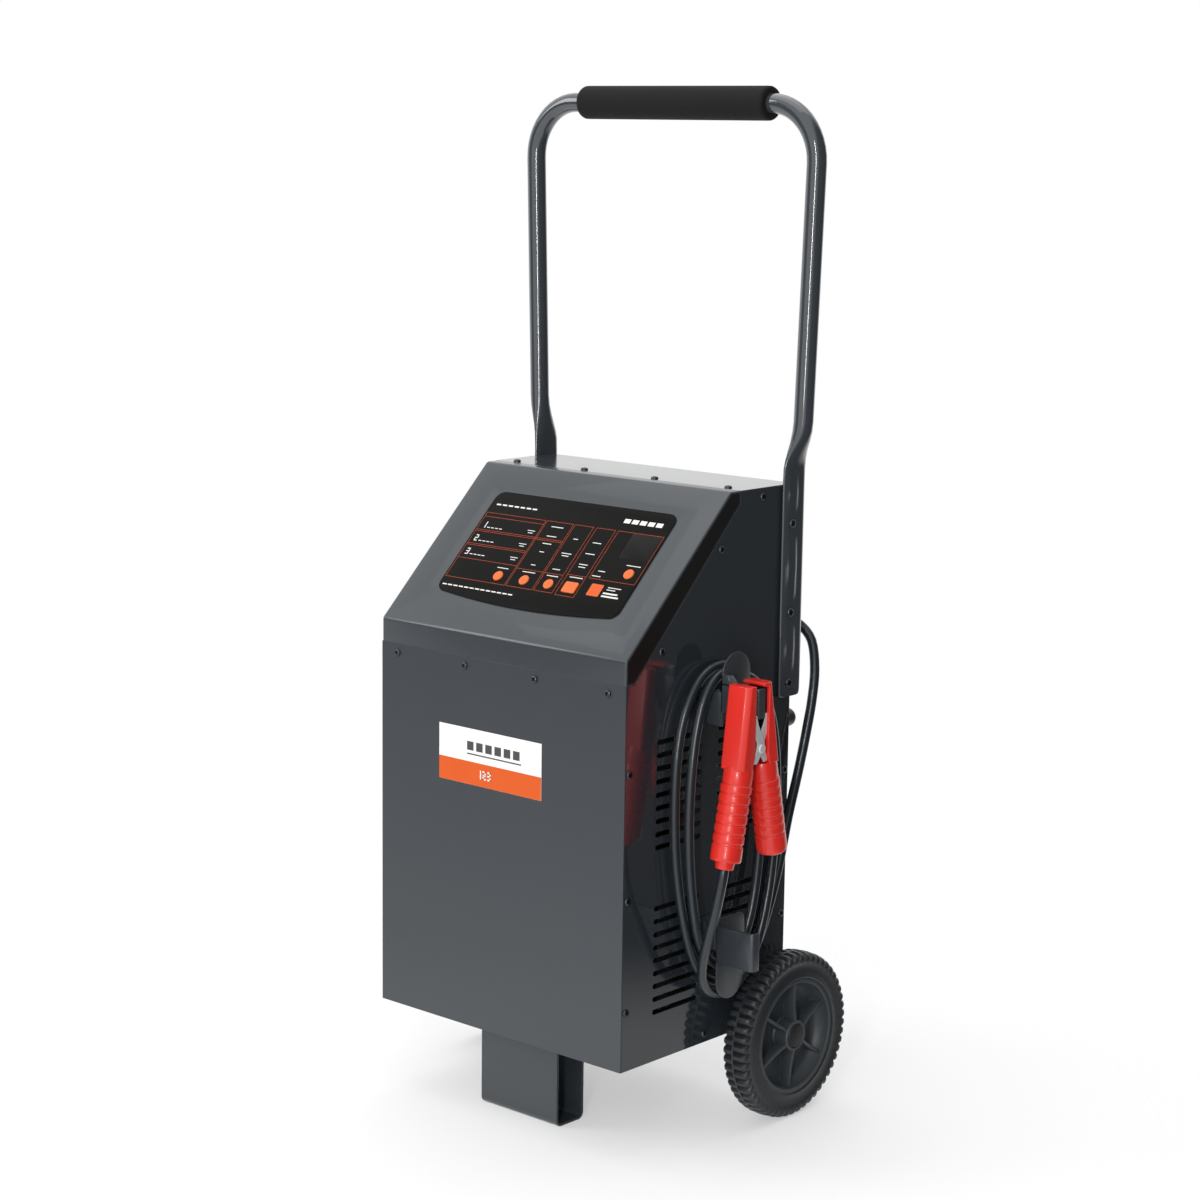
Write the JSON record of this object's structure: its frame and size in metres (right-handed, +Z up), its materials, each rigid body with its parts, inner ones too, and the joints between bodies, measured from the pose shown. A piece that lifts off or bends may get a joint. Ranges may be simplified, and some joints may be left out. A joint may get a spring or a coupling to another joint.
{
  "type": "wheeled battery charger",
  "caption": "Workshop battery charger in a sheet steel case with a sloping keypad, tall tube handle, wheels, front foot and a red clamp on a lead wound on side hooks",
  "frame": {"origin": "middle of the front foot's underside, on the floor", "axes": "+X runs across the case from its left to its right side seen from the front, +Y runs from the front to the back, +Z is up"},
  "size_m": [0.4501, 0.3127, 1.034],
  "materials": {
    "case_paint": "gloss slate grey paint on sheet steel",
    "top_paint": "gloss slate grey paint",
    "black_film": "black printed film",
    "display_film": "smoked red window film",
    "label_film": "white and orange printed label",
    "black_steel": "black finished screws",
    "orange_rubber": "soft matt orange keys",
    "circuit_board": "green solder mask",
    "switch_plastic": "black plastic",
    "display_case": "white plastic",
    "zinc_steel": "zinc plated steel",
    "spring_steel": "dark spring steel",
    "core_steel": "varnished laminations",
    "winding": "varnished winding under tape",
    "extrusion": "plain extruded fins",
    "diode_case": "plated stud diodes",
    "relay_plastic": "blue relay case",
    "terminal_plastic": "cream plastic",
    "fan_plastic": "black plastic",
    "tyre_rubber": "dark grey semi-solid rubber",
    "rim_plastic": "dark grey moulded plastic",
    "cap_plastic": "black cap",
    "foam": "black cellular foam",
    "gland_plastic": "black nylon",
    "lead_rubber": "glossy black sheath",
    "clamp_plastic": "red insulator"
  },
  "bodies": {
    "cabinet": {"base_tray": "case_paint", "front_panel": "case_paint", "right_side_panel": "case_paint", "left_side_panel": "case_paint", "back_panel": "case_paint", "control_hood": "case_paint", "front_foot": "case_paint", "axle_brackets": "case_paint", "handle_tube": "case_paint", "upper_cable_hook": "case_paint", "lower_cable_hook": "case_paint", "top_cover": "top_paint", "hood_stripes": "black_film", "keypad_overlay": "black_film", "display_window": "display_film", "front_label": "label_film", "front_screws": "black_steel", "top_screws": "black_steel", "side_screws": "black_steel", "back_screws": "black_steel", "handle_screws": "black_steel", "control_board": "circuit_board", "button_switches": "switch_plastic", "display_module": "display_case", "board_spacers": "zinc_steel", "transformer_brackets": "zinc_steel", "axle": "zinc_steel", "axle_spacers": "zinc_steel", "hook_screws": "zinc_steel", "clamp_front_jaw": "zinc_steel", "clamp_pin": "zinc_steel", "clamp_spring": "spring_steel", "transformer_core": "core_steel", "transformer_coils": "winding", "rectifier_heatsink": "extrusion", "rectifier_diodes": "diode_case", "power_relay": "relay_plastic", "terminal_block": "terminal_plastic", "fan_frame": "fan_plastic", "foam_grip": "foam", "positive_gland": "gland_plastic", "negative_gland": "gland_plastic", "mains_gland": "gland_plastic", "positive_lead": "lead_rubber", "clamp_front_insulator": "clamp_plastic", "clamp_boot": "clamp_plastic"},
    "right_wheel": {"right_tyre": "tyre_rubber", "right_rim": "rim_plastic", "right_hub_cap": "cap_plastic"},
    "left_wheel": {"left_tyre": "tyre_rubber", "left_rim": "rim_plastic", "left_hub_cap": "cap_plastic"},
    "key_rate": {"button_rate": "orange_rubber"},
    "key_mode": {"button_mode": "orange_rubber"},
    "key_type": {"button_type": "orange_rubber"},
    "key_start": {"button_start": "orange_rubber"},
    "key_test": {"button_test": "orange_rubber"},
    "fan_wheel": {"fan_rotor": "fan_plastic"},
    "clamp_rear_half": {"clamp_rear_insulator": "clamp_plastic", "clamp_rear_jaw": "zinc_steel"}
  },
  "joints": [
    {"name": "right_wheel_spin", "type": "hinge", "parent": "cabinet", "child": "right_wheel", "pos_m": [0.191, 0.172, 0.0855], "axis": [1, 0, 0], "continuous": true},
    {"name": "left_wheel_spin", "type": "hinge", "parent": "cabinet", "child": "left_wheel", "pos_m": [-0.191, 0.172, 0.0855], "axis": [1, 0, 0], "continuous": true},
    {"name": "fan_spin", "type": "hinge", "parent": "cabinet", "child": "fan_wheel", "pos_m": [-0.06, 0.185, 0.27], "axis": [0, 1, 0], "continuous": true},
    {"name": "clamp_open", "type": "hinge", "parent": "cabinet", "child": "clamp_rear_half", "pos_m": [0.228, 0.0585, 0.409], "axis": [-1, 0, 0], "range_deg": [0, 15], "stiffness_Nm_per_rad": 2, "springref_deg": -17.19},
    {"name": "key_rate_press", "type": "slide", "parent": "cabinet", "child": "key_rate", "axis": [0, 0.6976, -0.7165], "range_m": [0, 0.001], "stiffness_N_per_m": 300, "springref_m": -0.001},
    {"name": "key_mode_press", "type": "slide", "parent": "cabinet", "child": "key_mode", "axis": [0, 0.6976, -0.7165], "range_m": [0, 0.001], "stiffness_N_per_m": 300, "springref_m": -0.001},
    {"name": "key_type_press", "type": "slide", "parent": "cabinet", "child": "key_type", "axis": [0, 0.6976, -0.7165], "range_m": [0, 0.001], "stiffness_N_per_m": 300, "springref_m": -0.001},
    {"name": "key_start_press", "type": "slide", "parent": "cabinet", "child": "key_start", "axis": [0, 0.6976, -0.7165], "range_m": [0, 0.001], "stiffness_N_per_m": 300, "springref_m": -0.001},
    {"name": "key_test_press", "type": "slide", "parent": "cabinet", "child": "key_test", "axis": [0, 0.6976, -0.7165], "range_m": [0, 0.001], "stiffness_N_per_m": 300, "springref_m": -0.001}
  ]
}
